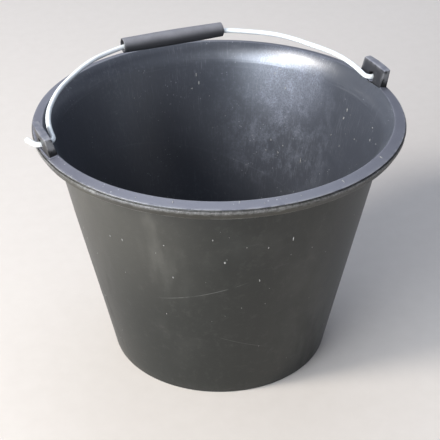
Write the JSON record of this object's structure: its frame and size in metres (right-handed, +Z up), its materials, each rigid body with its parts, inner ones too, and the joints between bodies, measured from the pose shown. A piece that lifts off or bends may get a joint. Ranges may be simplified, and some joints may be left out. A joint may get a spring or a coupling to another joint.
{
  "type": "builder's bucket",
  "caption": "Tapered black plastic bucket for carrying and mixing mortar, with a swinging wire bail hooked through lugs on the rim and a loose tube grip.",
  "frame": {"origin": "centre of the foot ring, on the surface that the bucket stands on", "axes": "+Z up along the bucket's axis, X along the bail's pivot line, +Y towards the side that the bail leans to at rest"},
  "size_m": [0.3442, 0.3264, 0.2636],
  "materials": {
    "bucket_plastic": "satin black moulding, scuffed and dusty",
    "galvanised_wire": "bright galvanised steel wire",
    "grip_plastic": "matt charcoal tube"
  },
  "bodies": {
    "bucket": {"bucket": "bucket_plastic"},
    "bail": {"bail": "galvanised_wire"},
    "grip": {"grip": "grip_plastic"}
  },
  "joints": [
    {"name": "bail_swing", "type": "hinge", "parent": "bucket", "child": "bail", "pos_m": [0, 0, 0.2355], "axis": [1, 0, 0], "range_deg": [-18.2, 177.8]},
    {"name": "grip_spin", "type": "hinge", "parent": "bail", "child": "grip", "pos_m": [0.0045, 0.11497, 0.25619], "axis": [0.9997, -0.0231, -0.0042], "continuous": true}
  ]
}
